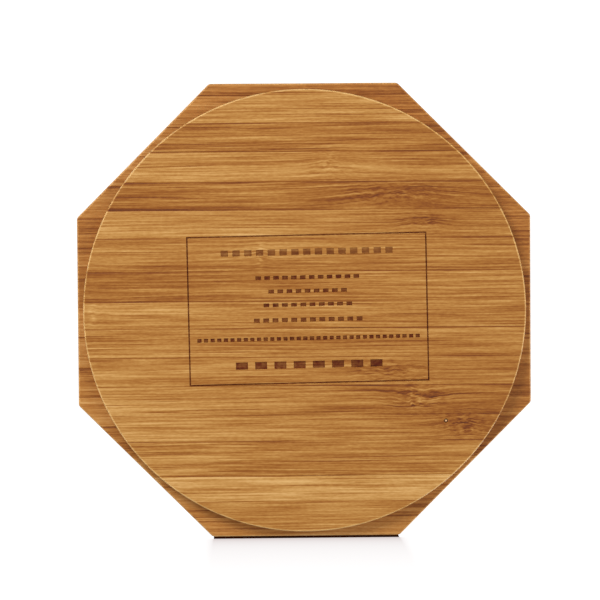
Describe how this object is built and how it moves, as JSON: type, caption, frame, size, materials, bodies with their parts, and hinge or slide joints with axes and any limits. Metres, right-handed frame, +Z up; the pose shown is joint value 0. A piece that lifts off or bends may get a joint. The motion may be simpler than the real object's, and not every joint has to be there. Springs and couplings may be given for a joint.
{
  "type": "wireless charging pad",
  "caption": "Octagonal bamboo wireless charging pad on a round bamboo base plate, with its coil and circuit board inside and a power socket in one side.",
  "frame": {"origin": "middle of the base plate's underside, on the surface the pad lies on", "axes": "+Z up out of the charging face, +Y towards the flat side with the power socket"},
  "size_m": [0.09, 0.09, 0.01],
  "materials": {
    "body_bamboo": "laminated carbonised bamboo, sanded, thin satin oil",
    "base_bamboo": "laminated carbonised bamboo, sanded, thin satin oil, laser-engraved",
    "glue": "cured wood glue",
    "tape": "double-sided film tape",
    "coil_wire": "enamelled copper litz wire",
    "solder": "tin solder",
    "ferrite": "sintered ferrite with a film cover",
    "foam": "closed-cell foam",
    "board": "glass-epoxy board with green solder mask",
    "socket_steel": "nickel-plated steel",
    "socket_plastic": "black moulded plastic",
    "contact_gold": "gold-flashed copper alloy",
    "chip_plastic": "black epoxy package with tinned leads",
    "capacitor_ceramic": "tan ceramic with tinned ends",
    "resistor_film": "black film on ceramic with tinned ends",
    "led_lens": "cloudy resin lens",
    "light_guide_acrylic": "clear acrylic rod with a frosted end"
  },
  "bodies": {
    "root": {"bamboo_body": "body_bamboo", "bamboo_base_plate": "base_bamboo", "base_glue_ring": "glue", "coil_tape": "tape", "transmitter_coil": "coil_wire", "coil_lead_inner": "coil_wire", "coil_lead_outer": "coil_wire", "coil_solder_inner": "solder", "coil_solder_outer": "solder", "ferrite_shield": "ferrite", "coil_foam_pad": "foam", "circuit_board": "board", "board_tape": "tape", "usb_shell": "socket_steel", "usb_insert": "socket_plastic", "usb_contact_1": "contact_gold", "usb_contact_2": "contact_gold", "usb_contact_3": "contact_gold", "usb_contact_4": "contact_gold", "usb_contact_5": "contact_gold", "controller_chip": "chip_plastic", "power_chip_1": "chip_plastic", "power_chip_2": "chip_plastic", "resonance_capacitor_1": "capacitor_ceramic", "resonance_capacitor_2": "capacitor_ceramic", "resonance_capacitor_3": "capacitor_ceramic", "resonance_capacitor_4": "capacitor_ceramic", "input_capacitor_1": "capacitor_ceramic", "input_capacitor_2": "capacitor_ceramic", "chip_resistor_1": "resistor_film", "chip_resistor_2": "resistor_film", "chip_resistor_3": "resistor_film", "chip_resistor_4": "resistor_film", "indicator_led": "led_lens", "light_guide": "light_guide_acrylic"}
  },
  "joints": []
}
